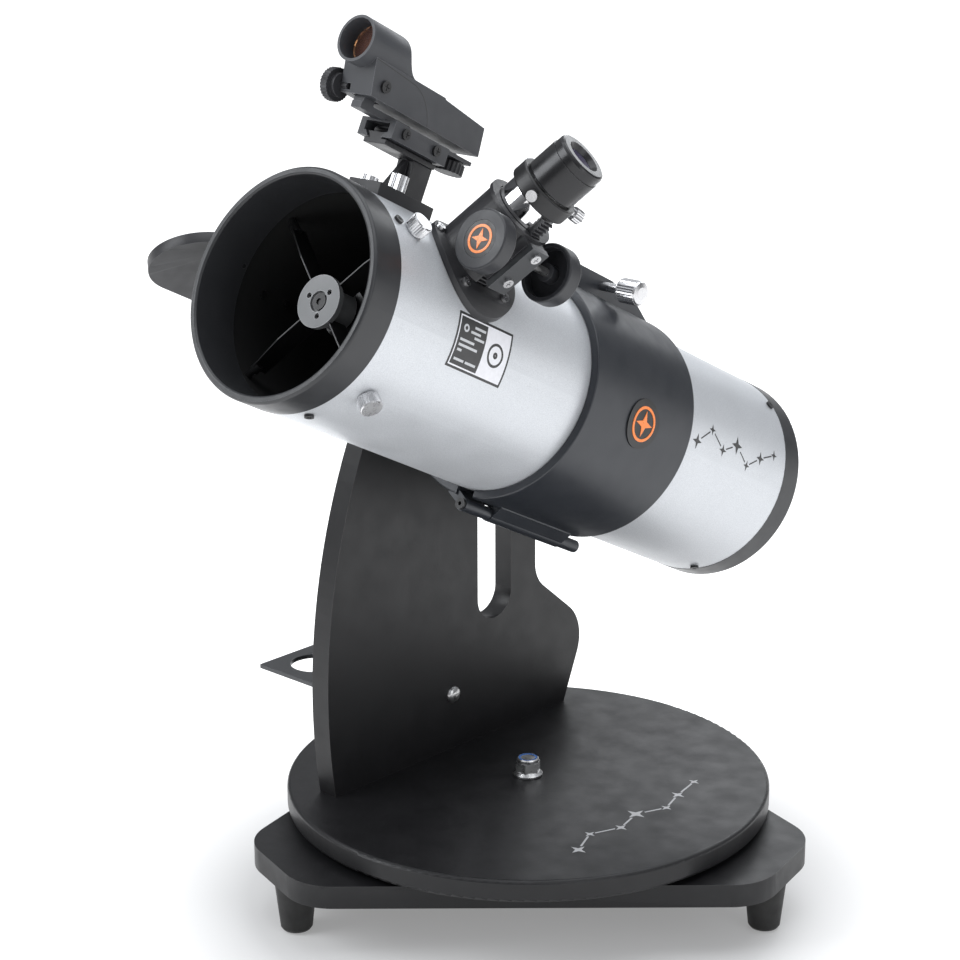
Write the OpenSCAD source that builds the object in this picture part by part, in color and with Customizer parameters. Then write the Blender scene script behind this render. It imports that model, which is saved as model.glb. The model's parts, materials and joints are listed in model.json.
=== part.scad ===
// Tabletop Newtonian telescope on a one-arm rocking base, all sizes in mm.
// Z is up. The tube points towards -Y, the side arm stands on the -X side.

/* [Placement] */
// Azimuth axis, X from the centre of the plan
axis_x = -15; // [-60:0.5:60]
// Azimuth axis, Y from the centre of the plan
axis_y = 26; // [-60:0.5:60]
// Height of the tube above level, degrees
altitude = 27.07; // [0:0.01:90]

/* [Base] */
// Height of the feet
foot_h = 35; // [20:1:60]
// Radius of the circle through the feet
foot_circle = 176; // [120:1:220]
// Thickness of the ground board
ground_t = 15.5; // [10:0.5:25]
// Distance from the axis to a long side of the ground board
ground_side = 131; // [90:1:180]
// Distance from the axis to a short side of the ground board
ground_corner = 192; // [130:1:240]
// Rounding of the ground board's corners
ground_round = 35; // [5:1:60]
// Yaw of the ground board, degrees
ground_yaw = -47; // [-180:1:180]
// Radius of the turntable
turn_r = 162.8; // [120:0.1:220]
// Thickness of the turntable
turn_t = 15; // [10:0.5:25]
// Height of the turntable's underside
turn_z = 54.2; // [40:0.1:80]

/* [Arm] */
// Inner face of the arm, from the azimuth axis
arm_x = -68.6; // [-120:0.1:-50]
// Thickness of the arm
arm_t = 15; // [10:0.5:25]
// Width of the slot in the arm
slot_w = 34; // [15:0.5:50]
// Height of the altitude pivot
pivot_z = 331.3; // [200:0.1:450]
// Altitude pivot, Y from the azimuth axis
pivot_y = 4; // [-40:0.5:40]

/* [Tube] */
// Tube axis, X from the azimuth axis
tube_x = 15; // [-20:0.5:40]
// Outer radius of the tube
tube_r = 70; // [50:0.5:90]
// Wall of the tube
tube_wall = 1.5; // [0.8:0.1:4]
// Length of the tube with both end rings
tube_len = 456.8; // [300:0.1:700]
// Front face to the altitude pivot
pivot_s = 261.7; // [150:0.1:400]
// Radius of the front opening
mouth_r = 65.6; // [45:0.1:85]

/* [Cradle ring] */
// Inner radius
ring_in = 70.4; // [50.4:0.1:90.4]
// Outer radius
ring_out = 75.6; // [55:0.1:96]
// Front edge, from the front of the tube
ring_s0 = 207.7; // [100:0.1:300]
// Rear edge, from the front of the tube
ring_s1 = 315.6; // [200:0.1:400]

/* [Focuser] */
// Focuser axis, from the front of the tube
focus_s = 93; // [60:0.5:140]
// Focuser direction round the tube, degrees above +X
focus_phi = 48.9; // [0:0.1:90]
// Outer radius of the draw tube
draw_r = 17.5; // [14:0.1:22]
// Radius of the eyepiece barrel
barrel_r = 15.875; // [12:0.005:26]

/* [Hidden] */
$fn = 64;

gap = 0.3;          // running gap between pieces that move past each other
fit = 0.05;         // radial clearance of a shaft in its bore
eps = 0.02;         // clearance between pieces that touch
arm_out = arm_x - arm_t;
board_top = foot_h + ground_t;
top_z = turn_z + turn_t;
end_front = 22.6;   // length of the front ring's skirt
end_rear = 438.2;   // front edge of the rear ring's skirt
spigot = 10;        // depth of each end ring inside the tube
inner_r = tube_r - tube_wall;
vane_s = 42;        // spider, from the front of the tube
vane_phi = 48.5;
clamp_s = 257;      // clamp screw, from the front of the tube
clamp_h = 81.5;     // clamp screw, above the tube axis
hinge_x = 4;        // cradle hinge line in the tube frame
hinge_h = -80.6;
gear_m = 0.8;       // gear module of the focuser
gear_n = 12;        // pinion teeth
gear_rp = gear_m * gear_n / 2;
pinion_w = 25.4;    // pinion axis, sideways from the focuser axis
pinion_t = 99;      // pinion axis, out from the tube axis
adjust_s = 103;     // finder's adjuster, from the front of the tube
dock_tilt = 32;     // tilt of the phone tray
tray_x = -125;
tray_s0 = 53;       // centre of the tray's round front end
tray_h = 7;
tray_r = 33;
knob_x = arm_out - tube_x - gap - 25;   // outer face of the altitude knob
stud_low = [-8.2, 50];     // finder bracket studs, across and from the front
stud_tall = [8.2, 57.5];
flange_screws = [[-12, -22.5], [23.6, 21.2], [-14, 21.5], [25, -15.5]];
flange_r = 73.6;    // outer face of the focuser flange, from the tube axis
cell_r = 48;        // collimation screws, from the tube axis
dock_s = 66;        // middle of the dock bracket's pad
pivot_fs = 18.3;    // tilt axis of the finder head, from the front and up
pivot_fh = 126.7;

/* ---------- shared shapes ---------- */

module on_axis() translate([axis_x, axis_y, 0]) children();

// Tube frame: x across, y to the rear from the altitude pivot, z up from the tube axis.
module in_tube()
  on_axis() translate([tube_x, pivot_y, pivot_z]) rotate([-altitude, 0, 0])
    translate([0, -pivot_s, 0]) children();

// Ring lathed about the tube axis; the profile is [radius, distance from the front].
module lathe_tube() rotate([-90, 0, 0]) rotate_extrude($fn = 128) children();

// Focuser frame: x towards the pinion, y to the rear, z outwards.
module in_focuser()
  in_tube() translate([0, focus_s, 0]) rotate([0, 90 - focus_phi, 0]) children();

module rod(r, l) cylinder(r = r, h = l, $fn = 40);
module rod_x(r, l) rotate([0, 90, 0]) cylinder(r = r, h = l, $fn = 48);
module rod_y(r, l) rotate([-90, 0, 0]) cylinder(r = r, h = l, $fn = 48);
module tube_cyl(r, s0, s1) translate([0, s0, 0]) rotate([-90, 0, 0]) cylinder(r = r, h = s1 - s0, $fn = 128);

// Places children round the tube axis, their z pointing outwards.
module round_tube(phi, s) translate([0, s, 0]) rotate([0, 90 - phi, 0]) children();

module disc_edge(r, h, e) {
  rotate_extrude($fn = 128) {
    square([r - e, h]);
    translate([0, e]) square([r, h - 2 * e]);
    translate([r - e, e]) circle(e, $fn = 24);
    translate([r - e, h - e]) circle(e, $fn = 24);
  }
}

function arc_pts(cx, cy, r, a0, a1, n) =
  [for (i = [0:n]) [cx + r * cos(a0 + (a1 - a0) * i / n), cy + r * sin(a0 + (a1 - a0) * i / n)]];

function flute_pts(r, d, n) =
  [for (i = [0:2 * n - 1]) let (q = i % 2 == 0 ? r : r - d) [q * cos(180 * i / n), q * sin(180 * i / n)]];

module knurled(r, h, d = 0.5, n = 24) linear_extrude(h) polygon(flute_pts(r, d, n));

module pan_screw(r, l, hr, hh) {
  translate([0, 0, -l]) rod(r, l);
  difference() {
    rod(hr, hh);
    for (a = [0, 90]) rotate(a) translate([-hr * 0.6, -0.35, hh - 0.8]) cube([hr * 1.2, 0.7, 2]);
  }
}

/* ---------- ground board ---------- */

module board_outline() {
  side_c = ground_side - ground_round;
  corner_c = ground_corner - ground_round;
  reach = (corner_c - 0.5 * side_c) / cos(30);
  pts = [for (k = [0:2], e = [-1, 1]) let (a = 120 * k, v = e * reach)
         [side_c * cos(a) - v * sin(a), side_c * sin(a) + v * cos(a)]];
  tan_pts = [for (k = [0:2], e = [0:3]) let (a = 120 * k, v = (e < 2 ? -1 : 1) * reach, n = [-60, 0, 0, 60][e])
    [side_c * cos(a) - v * sin(a) + ground_round * cos(a + n),
     side_c * sin(a) + v * cos(a) + ground_round * sin(a + n)]];
  polygon(tan_pts);
  for (p = pts) translate(p) circle(ground_round, $fn = 96);
}

module ground_board() color([0.09, 0.09, 0.1]) on_axis() {
  difference() {
    translate([0, 0, foot_h]) rotate([0, 0, ground_yaw]) linear_extrude(ground_t) board_outline();
    translate([0, 0, foot_h - 1]) cylinder(r = 5 + fit, h = ground_t + 2);
    translate([0, 0, foot_h - 1]) cylinder(r = 13, h = 7);
    at_feet() translate([0, 0, foot_h - 1]) rod(2.5 + fit, 13);
  }
}

module at_feet() for (k = [0:2]) rotate([0, 0, ground_yaw + 60 + 120 * k]) translate([foot_circle, 0, 0]) children();

module feet() color([0.06, 0.06, 0.06]) on_axis() at_feet() difference() {
  rotate_extrude($fn = 64) polygon([[0, 0], [7.6, 0], [9.3, 0.7], [10.5, 2.4], [14, foot_h - eps], [0, foot_h - eps]]);
  translate([0, 0, -1]) rod(6, 19);
  translate([0, 0, -1]) rod(2.6, foot_h + 2);
}

module foot_screws() color([0.6, 0.6, 0.62]) on_axis() at_feet()
  translate([0, 0, 18]) rotate([180, 0, 0]) pan_screw(2.5, foot_h - 18 + 11, 4.8, 3);

module azimuth_bolt() color([0.7, 0.7, 0.72]) on_axis() {
  translate([0, 0, foot_h + 1]) rod(11, 5 - eps);
  translate([0, 0, foot_h + 5]) rod(5, top_z + 12.4 - foot_h - 5);
}

module azimuth_nut() color([0.75, 0.75, 0.76]) on_axis() translate([0, 0, top_z + gap]) difference() {
  union() {
    rotate_extrude($fn = 64) polygon([[0, 0], [10, 0], [10, 1.2], [8.2, 3], [0, 3]]);
    translate([0, 0, 2]) cylinder(r = 8.6, h = 7.5, $fn = 6);
    translate([0, 0, 9]) rotate_extrude($fn = 64) polygon([[0, 0], [7.4, 0], [7.4, 2.6], [6.6, 3.4], [0, 3.4]]);
  }
  translate([0, 0, -1]) rod(5 + eps, 20);
  translate([0, 0, 10]) rod(6.4, 5);
}

module nut_insert() color([0.16, 0.35, 0.7]) on_axis() translate([0, 0, top_z + gap + 10 + eps]) difference() {
  rod(6.36, 2.2);
  translate([0, 0, -1]) rod(5 + eps, 5);
}

module glide_pads() color([0.9, 0.9, 0.88]) on_axis()
  for (k = [0:2]) rotate([0, 0, ground_yaw + 60 + 120 * k]) translate([118, 0, board_top + eps])
    disc_edge(12.5, turn_z - board_top - gap - eps, 0.8);

/* ---------- turntable and arm ---------- */

module turntable() color([0.08, 0.08, 0.09]) on_axis() difference() {
  translate([0, 0, turn_z]) disc_edge(turn_r, turn_t, 2.4);
  translate([0, 0, turn_z - 1]) cylinder(r = 5 + fit, h = turn_t + 2);
  at_arm_screws() {
    translate([0, 0, turn_z - 1]) rod(3 + fit, turn_t + 2);
    translate([0, 0, turn_z - 1]) rod(5.6, 5);
  }
}

module at_arm_screws() for (y = [-92, 5, 92]) translate([arm_x - arm_t / 2, y, 0]) children();

arm_front_c = [300.4, 135];
arm_front_r = 420;
function front_y(z) = arm_front_c[0] - sqrt(arm_front_r * arm_front_r - (z - arm_front_c[1]) * (z - arm_front_c[1]));

function arm_outline() = concat(
  [for (i = [0:24]) let (z = top_z + eps + (325 - top_z) * i / 24) [front_y(z), z]],
  arc_pts(6, 306, 80, 162, 20, 22),
  [[84, 318]],
  arc_pts(108.5, 183, 24.5, 180, 232, 10),
  arc_pts(100.5, 116, 32, 52, -21, 14),
  [[115.6, top_z + eps]]);

module side_arm() color([0.1, 0.1, 0.11]) on_axis() difference() {
  translate([arm_out, 0, 0]) rotate([90, 0, 90]) linear_extrude(arm_t) polygon(arm_outline());
  translate([arm_out - 1, 0, 0]) rotate([90, 0, 90]) linear_extrude(arm_t + 2) {
    translate([41.5, 171]) circle(slot_w / 2, $fn = 64);
    translate([41.5, 250]) circle(slot_w / 2, $fn = 64);
    translate([41.5 - slot_w / 2, 171]) square([slot_w, 79]);
  }
  translate([arm_out - 1, pivot_y, pivot_z]) rod_x(5 + fit, arm_t + 2);
  translate([arm_out - 1, rack_bolt_y, rack_bolt_z]) rod_x(2.5 + fit, arm_t + 2);
  at_arm_screws() translate([0, 0, top_z - 1]) rod(3 + fit, 39);
}

module arm_screws() color([0.5, 0.5, 0.5]) on_axis() at_arm_screws()
  translate([0, 0, turn_z + 3.8]) rotate([180, 0, 0]) pan_screw(3, turn_t - 3.8 + 36, 5.4, 3);

rack_z = 148;
rack_bolt_y = -1;
rack_bolt_z = 109;
rack_x0 = arm_out - 51.5;
rack_y0 = -118.9;
rack_y1 = 25.4;

module eyepiece_rack() color([0.09, 0.09, 0.1]) on_axis() difference() {
  union() {
    translate([rack_x0, rack_y0, rack_z - 3]) cube([51.5 - eps, rack_y1 - rack_y0, 3]);
    translate([arm_out - 3, rack_bolt_y - 26, rack_bolt_z - 14]) cube([3 - eps, 52.4, rack_z - rack_bolt_z + 12]);
  }
  for (k = [0:2]) translate([rack_x0 + 25.7, rack_y0 + 26.4 + 45.75 * k, rack_z - 5]) cylinder(r = 16.2, h = 7, $fn = 96);
  translate([arm_out - 5, rack_bolt_y, rack_bolt_z]) rod_x(2.5 + fit, 10);
}

module rack_bolt() color([0.72, 0.72, 0.72]) on_axis() translate([0, rack_bolt_y, rack_bolt_z]) {
  translate([arm_out - 3 - eps - 3, 0, 0]) rod_x(4.6, 3);
  translate([arm_out - 4, 0, 0]) rod_x(2.5, arm_t + 6);
  translate([arm_x + eps, 0, 0]) rotate([0, 90, 0]) rotate_extrude($fn = 48)
    polygon(concat([[0, 0]], [for (i = [0:6]) [6 * cos(15 * i), 3.4 * sin(15 * i)]]));
}

module bearing_plate() color([0.85, 0.85, 0.83]) on_axis()
  translate([arm_x + eps, pivot_y, pivot_z]) difference() {
    rod_x(27, 2.4);
    translate([-1, 0, 0]) rod_x(5 + gap, 5);
  }

/* ---------- optical tube ---------- */

module optical_tube() color([0.78, 0.78, 0.79]) in_tube() difference() {
  tube_cyl(tube_r, end_front + eps, end_rear - eps);
  tube_cyl(inner_r, 0, tube_len);
  round_tube(focus_phi, focus_s) translate([0, 0, 40]) cylinder(r = 22.6, h = 60, $fn = 64);
  at_vanes() translate([0, 0, 60]) rod(2 + fit, 20);
  at_end_screws() translate([0, 0, 60]) rod(1.5 + fit, 20);
  at_dock_screws() translate([0, 0, 60]) rod(2.5 + fit, 20);
  for (p = [stud_low, stud_tall]) translate([p[0], p[1], 60]) rod(2 + fit, 20);
  translate([0, focus_s, 0]) rotate([0, 90 - focus_phi, 0]) at_flange_screws() translate([0, 0, 60]) rod(1.8 + fit, 20);
}

module at_vanes() for (k = [0:3]) round_tube(vane_phi + 90 * k, vane_s) children();
module at_end_screws() for (k = [0:2], s = [30, 432.5]) round_tube(51 + 120 * k, s) children();

module front_ring() color([0.13, 0.13, 0.14]) in_tube() difference() {
  union() {
    lathe_tube() {
      translate([mouth_r, 1.6]) square([4, end_front - 1.6]);
      translate([mouth_r + 1.6, 0]) square([2, 4]);
      translate([mouth_r + 1.6, 1.6]) circle(1.6, $fn = 24);
      translate([tube_r + 0.6 - 2.2, 2.2]) circle(2.2, $fn = 24);
      translate([mouth_r + 2, 2.2]) square([tube_r + 0.6 - mouth_r - 2, end_front - 2.2]);
      translate([mouth_r, end_front - 1]) square([inner_r - eps - mouth_r, spigot + 1]);
    }
  }
  at_end_screws() translate([0, 0, 60]) rod(1.5 + fit, 20);
}

module rear_ring() color([0.1, 0.1, 0.11]) in_tube() difference() {
  lathe_tube() {
    translate([64, end_rear - spigot]) square([inner_r - eps - 64, spigot + 1]);
    translate([64, end_rear]) square([tube_r + 0.2 - 64, tube_len - 2 - end_rear]);
    translate([64, end_rear]) square([tube_r + 0.2 - 64 - 2, tube_len - end_rear]);
    translate([tube_r + 0.2 - 2, tube_len - 2]) circle(2, $fn = 24);
    translate([38, 448]) square([27, 4]);
  }
  at_end_screws() translate([0, 0, 60]) rod(1.5 + fit, 20);
  at_cell() tube_cyl(3 + fit, 440, 460);
}

module end_screws() color([0.1, 0.1, 0.1]) in_tube() at_end_screws()
  translate([0, 0, tube_r + 0.1]) pan_screw(1.5, 4.4, 2.9, 1.6);

module spider_vanes() color([0.07, 0.07, 0.07]) in_tube() at_vanes() {
  difference() {
    translate([-0.4, -7, 12]) cube([0.8, 16, 50]);
    translate([-2, -20, 30]) rotate([-8, 0, 0]) cube([4, 12, 50]);
  }
  translate([0, 0, 58]) rod(3, 5);
  translate([0, 0, 62]) rod(2, 13);
}

module spider_hub() color([0.55, 0.56, 0.57]) in_tube() difference() {
  union() {
    tube_cyl(16, 33.5, 37);
    tube_cyl(12.5, 36, 53);
  }
  tube_cyl(3 + eps, 30, 60);
  tube_cyl(6.4, 30, 35.9);
  at_hub_screws() tube_cyl(1.8, 30, 60);
  at_vanes() translate([-0.42, -7.1, 11.9]) cube([0.84, 16.2, 20]);
}

module vane_nuts() color([0.8, 0.8, 0.8]) in_tube() at_vanes() translate([0, 0, tube_r + 0.1]) difference() {
  union() {
    rotate_extrude($fn = 48) polygon([[0, 0], [6, 0], [6.4, 0.6], [6.4, 1.6], [0, 1.6]]);
    translate([0, 0, 1.4]) knurled(7, 6.6, 0.4, 30);
    translate([0, 0, 7.8]) rotate_extrude($fn = 48) polygon([[0, 0], [6.6, 0], [6.2, 0.9], [0, 0.9]]);
  }
  translate([0, 0, -1]) rod(2 + eps, 6.5);
}

module at_hub_screws() for (k = [0:2]) rotate([0, 44.3 + 120 * k, 0]) translate([0, 0, 9]) children();

module hub_screws() color([0.1, 0.1, 0.1]) in_tube() {
  at_hub_screws() difference() {
    tube_cyl(1.75, 34.6, 56.4);
    tube_cyl(0.9, 34, 36.6);
  }
  tube_cyl(3, 35.4, 70);
  difference() {
    tube_cyl(5, 33.9, 35.8);
    tube_cyl(2, 33, 35);
  }
}

module secondary_holder() color([0.12, 0.12, 0.12]) in_tube() difference() {
  tube_cyl(15.2, 56.5, 115);
  tube_cyl(3 + eps, 50, 71);
  mirror_plane(2) translate([-60, -60, 0]) cube([120, 120, 120]);
}

// Frame on the diagonal's face: z points along the face normal, lift behind the face.
module mirror_plane(back) translate([0, focus_s, 0]) rotate([0, 90 - focus_phi, 0])
  rotate([-45, 0, 0]) translate([0, 0, -back]) children();

module secondary_mirror() color([0.8, 0.85, 0.9]) in_tube() intersection() {
  tube_cyl(16, 60, 125);
  mirror_plane(2 - eps) translate([-60, -60, 0]) cube([120, 120, 2 - eps]);
}

module primary_mirror() color([0.8, 0.85, 0.9]) in_tube() tube_cyl(57, 416, 429);

module at_clips() for (k = [0:2]) rotate([0, 90 + 120 * k, 0]) children();

module mirror_clips() color([0.1, 0.1, 0.1]) in_tube() at_clips() {
  translate([-5, 412.6, 51]) cube([10, 3.4 - eps, 12.9]);
  translate([-5, 412.6, 61 + eps]) cube([10, 14, 2.4]);
  translate([0, 422, 59]) rod(1.5, 6.4);
}

module mirror_cell() color([0.12, 0.12, 0.13]) in_tube() difference() {
  tube_cyl(61, 420, 438);
  tube_cyl(57 + eps, 400, 429 + eps);
  tube_cyl(34, 428, 440);
  at_cell() tube_cyl(3 + eps, 425, 445);
  at_clips() translate([0, 422, 50]) rod(1.5 + eps, 20);
}

module at_cell() for (k = [0:2]) rotate([0, 30 + 120 * k, 0]) translate([0, 0, cell_r]) children();

module collimation_screws() color([0.75, 0.75, 0.76]) in_tube() at_cell() {
  tube_cyl(3, 430, 455);
  translate([0, 452.3, 0]) rotate([-90, 0, 0]) knurled(7.4, 8, 0.5, 24);
}

module cell_springs() color([0.6, 0.6, 0.62]) in_tube() at_cell() for (k = [0:4])
  translate([0, 439 + 2 * k, 0])
  rotate([-90, 0, 0]) rotate_extrude($fn = 32) translate([4.6, 0]) circle(0.8, $fn = 16);

/* ---------- cradle ring and altitude pivot ---------- */

module ring_shell() lathe_tube() {
  translate([ring_in, ring_s0]) square([ring_out - ring_in - 1.2, ring_s1 - ring_s0]);
  translate([ring_in, ring_s0 + 1.2]) square([ring_out - ring_in, ring_s1 - ring_s0 - 2.4]);
  for (s = [ring_s0 + 1.2, ring_s1 - 1.2]) translate([ring_out - 1.2, s]) circle(1.2, $fn = 24);
}

function lug_pts() = [[ring_s0 + 4, 70.9], [ring_s0 + 8, 82], [ring_s0 + 14, 87.5], [clamp_s + 8, 87.5],
  [298, 80.5], [314, 72.8], [314, 70.9]];

module lug(x0, x1) translate([x0, 0, 0]) rotate([90, 0, 90]) linear_extrude(x1 - x0) polygon(lug_pts());

module ring_fixed() color([0.16, 0.16, 0.17]) in_tube() difference() {
  union() {
    intersection() {
      ring_shell();
      union() {
        translate([-100, 190, -70]) cube([99.2, 150, 190]);
        translate([-100, 190, -100]) cube([93.4, 150, 40]);
      }
    }
    lug(-15, -0.8);
    translate([-80.8, pivot_s, 0]) rod_x(30, 20);
    for (s = [[204, 230], [306, 325]]) {
      translate([hinge_x, s[0], hinge_h]) rod_y(4.2, s[1] - s[0]);
    }
    for (s = [[ring_s0 + 1.5, 230], [306, ring_s1 - 1.5]]) translate([0, s[1], 0]) rotate([90, 0, 0])
      linear_extrude(s[1] - s[0]) polygon([[3, -84.6], [-14, -75.2], [-14, -71.5], [-7, -71.5], [2, -77]]);
  }
  tube_cyl(ring_in, 190, 340);
  translate([-100, pivot_s, 0]) rod_x(5 + fit, 60);
  translate([-76.5, pivot_s, 0]) rod_x(10 + fit, 10);
  translate([-40, clamp_s, clamp_h]) rod_x(3 + fit, 60);
  translate([hinge_x, 190, hinge_h]) rod_y(2.5 + eps, 150);
}

module hinge_pin() color([0.3, 0.3, 0.31]) in_tube() translate([hinge_x, 0, hinge_h]) difference() {
  union() {
    translate([0, 203, 0]) rod_y(2.5, 123);
    translate([0, 202, 0]) rod_y(3.6, 1.8);
  }
  translate([0, 201, 0]) rod_y(1.3, 5);
}

module altitude_bolt() color([0.6, 0.6, 0.62]) in_tube() translate([0, pivot_s, 0]) {
  translate([-76.5 + eps, 0, 0]) rod_x(10, 4);
  translate([knob_x + 3.4, 0, 0]) rod_x(5, -74.5 - knob_x - 3.4);
}

module altitude_knob() color([0.1, 0.1, 0.11]) in_tube()
  translate([knob_x, pivot_s, 0]) difference() {
    union() {
      translate([8, 0, 0]) rod_x(13, 17);
      difference() {
        rotate([0, 90, 0]) rotate_extrude($fn = 96) {
          square([21, 15]);
          translate([0, 3]) square([24, 9]);
          translate([21, 3]) circle(3, $fn = 24);
          translate([21, 12]) circle(3, $fn = 24);
        }
        for (k = [0:6]) rotate([360 / 7 * k, 0, 0]) translate([-1, 0, 27.5]) rod_x(6.5, 20);
      }
    }
    translate([3, 0, 0]) rod_x(5 + fit, 30);
  }

module ring_opening() color([0.16, 0.16, 0.17]) in_tube() difference() {
  union() {
    intersection() {
      ring_shell();
      union() {
        translate([0.8, 190, -60]) cube([100, 150, 190]);
        translate([7.6, 190, -100]) cube([100, 150, 50]);
      }
    }
    lug(0.8, 15);
    translate([hinge_x, 230.4, hinge_h]) rod_y(4.8, 75.2);
    translate([0, 305.6, 0]) rotate([90, 0, 0]) linear_extrude(75.2)
      polygon([[8.4, -82.2], [14, -75], [14, -72], [7.8, -72], [6, -77]]);
  }
  tube_cyl(ring_in, 190, 340);
  translate([-40, clamp_s, clamp_h]) rod_x(3 + fit, 60);
  translate([hinge_x, 190, hinge_h]) rod_y(2.5 + fit, 150);
  round_tube(1.3, 262.7) translate([0, 0, ring_out - 1.4]) cylinder(r = 16.05, h = 6);
}

module ring_badge() color([0.9, 0.42, 0.12]) in_tube() intersection() {
  round_tube(1.3, 262.7) translate([0, 0, ring_out - 1.4 + eps]) cylinder(r = 16, h = 6);
  tube_cyl(ring_out + 0.9, 240, 290);
}

module clamp_screw() color([0.6, 0.6, 0.6]) in_tube() translate([0, clamp_s, clamp_h]) {
  translate([-17, 0, 0]) rod_x(3, 50);
  translate([31, 0, 0]) rotate([0, 90, 0]) {
    rotate_extrude($fn = 48) polygon([[0, 0], [6.6, 0], [7.8, 1], [7.8, 1.6], [0, 1.6]]);
    translate([0, 0, 1.4]) knurled(8, 13.6, 0.5, 28);
    translate([0, 0, 14.8]) rotate_extrude($fn = 48) polygon([[0, 0], [7.8, 0], [7, 1.2], [4, 1.8], [0, 1.8]]);
  }
}

/* ---------- focuser ---------- */

// Each flange screw stands radially on the curved flange.
module at_flange_screws() for (p = flange_screws)
  translate([0, p[1], 0]) rotate([0, asin(p[0] / flange_r), 0]) children();

cover_w = 28.4;     // joint between the pinion housing and its cover
cover_t = 4.2;
cover_screws = [86, 108];   // outwards from the tube axis

module focuser_cuts() {
  cylinder(r = draw_r + 0.06, h = 130, $fn = 96);
  translate([draw_r - 3, -4.5, 40]) cube([pinion_w - gear_rp + 1.5 - draw_r + 3, 9, 90]);
  translate([pinion_w, -5.4, pinion_t]) rod_y(6.2, 10.8);
  translate([pinion_w, -30, pinion_t]) rod_y(2.5 + fit, 60);
}

module focuser_body() color([0.09, 0.09, 0.1]) in_focuser() difference() {
  union() {
    intersection() {
      translate([5, 2.5, 40]) cylinder(r = 34, h = 60, $fn = 128);
      translate([0, -focus_s, 0]) tube_cyl(flange_r, 20, 180);
    }
    intersection() {
      translate([0, 0, 40]) cylinder(r = 22, h = 73, $fn = 96);
      difference() {
        translate([-40, -40, 0]) cube([80, 80, 120]);
        translate([0, -focus_s, 0]) tube_cyl(tube_r + eps, 20, 180);
      }
    }
    translate([8, -8.5, 79]) cube([cover_w - 8, 17, 33]);
    translate([0, 0, 111]) rotate_extrude($fn = 96) translate([draw_r + 1, 0]) square([4.9, 2.6]);
  }
  translate([0, -focus_s, 0]) tube_cyl(tube_r + eps, 20, 180);
  focuser_cuts();
  at_flange_screws() translate([0, 0, 60]) rod(1.8 + fit, 20);
  for (z = cover_screws) translate([cover_w - 5.5, 0, z]) rod_x(1.8 + fit, 12);
}

module focuser_screws() color([0.8, 0.8, 0.8]) in_focuser() {
  at_flange_screws() translate([0, 0, flange_r + 0.08]) pan_screw(1.8, 9, 3, 2);
  for (z = cover_screws) translate([cover_w + cover_t + eps, 0, z]) rotate([0, 90, 0]) pan_screw(1.8, 9, 3.2, 2);
}

module pinion_cover() color([0.25, 0.26, 0.27]) in_focuser() difference() {
  translate([cover_w + eps, -7.5, 77]) cube([cover_t - eps, 15, 36]);
  focuser_cuts();
  for (z = cover_screws) translate([cover_w - 9, 0, z]) rod_x(1.8 + fit, 22);
}

module draw_tube() color([0.85, 0.85, 0.86]) in_focuser() difference() {
  translate([0, 0, 62]) cylinder(r = draw_r, h = 64.5, $fn = 96);
  translate([0, 0, 60]) cylinder(r = barrel_r + 0.33, h = 80, $fn = 96);
}

module focus_rack() color([0.2, 0.2, 0.2]) in_focuser() difference() {
  translate([0, 4, 0]) rotate([90, 0, 0]) linear_extrude(8) polygon(rack_pts());
  translate([0, 0, 50]) cylinder(r = draw_r + eps, h = 90, $fn = 96);
}

// Rack profile in (sideways, outwards); a tooth faces the pinion's axis.
rack_pitch = PI * gear_m;
rack_line = pinion_w - gear_rp;
function rack_pts() = concat([[draw_r - 0.8, 64], [draw_r - 0.8, pinion_t + 10 * rack_pitch]],
  [for (k = [10:-1:-14], q = [0:3]) let (z = pinion_t + rack_pitch * k, h = rack_pitch / 4)
    [q == 0 || q == 3 ? rack_line - 1.0 : rack_line + 0.7,
     z + [-h + 0.30 + 2 * h, -h - 0.36 + 2 * h, -3 * h + 0.36 + 2 * h, -3 * h - 0.30 + 2 * h][q]]],
  [[rack_line - 1.0, 64]]);

function inv_xy(rb, t) = [rb * (cos(t) + t * PI / 180 * sin(t)), rb * (sin(t) - t * PI / 180 * cos(t))];
function turn(p, a) = [p[0] * cos(a) - p[1] * sin(a), p[0] * sin(a) + p[1] * cos(a)];
gear_rb = gear_rp * cos(20);
gear_inv = (tan(20) - 20 * PI / 180) * 180 / PI;
gear_half = 90 / gear_n + gear_inv - 1.2;
gear_ta = sqrt(pow((gear_rp + 0.7) / gear_rb, 2) - 1) * 180 / PI;

function pinion_pts() = [for (k = [0:gear_n - 1], i = [0:11])
  let (a = 360 / gear_n * k,
       p = i < 1 ? turn([gear_rp - 0.95, 0], -gear_half - 1)
         : i < 6 ? turn(inv_xy(gear_rb, gear_ta * (i - 1) / 4), -gear_half)
         : i < 11 ? let (m = inv_xy(gear_rb, gear_ta * (10 - i) / 4)) turn([m[0], -m[1]], gear_half)
         : turn([gear_rp - 0.95, 0], gear_half + 1))
  turn(p, a)];

module pinion_shaft() color([0.7, 0.7, 0.7]) in_focuser() translate([pinion_w, 0, pinion_t]) {
  translate([0, -33.5, 0]) rod_y(2.5, 67);
  translate([0, 4, 0]) rotate([90, 0, 0]) linear_extrude(8) rotate(180 / gear_n) polygon(pinion_pts());
}

module knob_half() difference() {
  union() {
    rotate_extrude($fn = 96) {
      square([17, 11]);
      translate([0, 1.2]) square([18.2, 8.6]);
      translate([17, 1.2]) circle(1.2, $fn = 24);
      translate([17, 9.8]) circle(1.2, $fn = 24);
    }
  }
  translate([0, 0, -1]) cylinder(r = 11.6, h = 2.4, $fn = 64);
  translate([0, 0, 4.5]) rotate_extrude($fn = 64) translate([5.5, 0]) square([10, 8]);
  translate([0, 0, 3.4]) rod(2.5 + eps, 12);
}

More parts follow.
